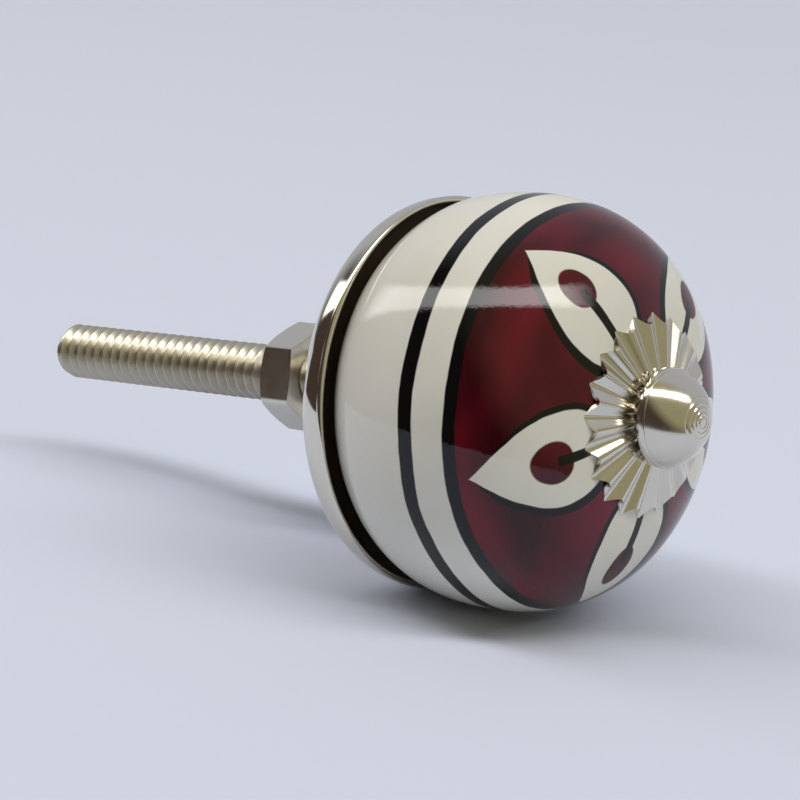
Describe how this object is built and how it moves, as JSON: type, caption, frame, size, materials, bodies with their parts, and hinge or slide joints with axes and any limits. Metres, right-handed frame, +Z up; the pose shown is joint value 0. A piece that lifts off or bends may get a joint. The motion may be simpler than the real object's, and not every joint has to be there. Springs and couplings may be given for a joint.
{
  "type": "ceramic drawer knob",
  "caption": "Painted, glazed ceramic ball knob held between a fluted flower washer and a dished back plate on a dome-headed bolt, with a threaded shank and hex nut to mount it on a drawer.",
  "frame": {"origin": "centre of the back plate's flat rear face, which seats on the drawer front", "axes": "+Y along the shank into the drawer front, +Z up, the domed head towards -Y"},
  "size_m": [0.033, 0.0681, 0.033],
  "materials": {
    "painted_glaze": "gloss glaze over hand-painted maroon, cream and black",
    "washer_nickel": "bright nickel plating on pressed sheet",
    "bolt_nickel": "bright nickel plating",
    "plate_nickel": "bright nickel plating on pressed sheet",
    "nut_nickel": "plain plated steel"
  },
  "bodies": {
    "root": {"ceramic_ball": "painted_glaze", "flower_washer": "washer_nickel", "dome_bolt": "bolt_nickel", "back_plate": "plate_nickel", "hex_nut": "nut_nickel"}
  },
  "joints": []
}
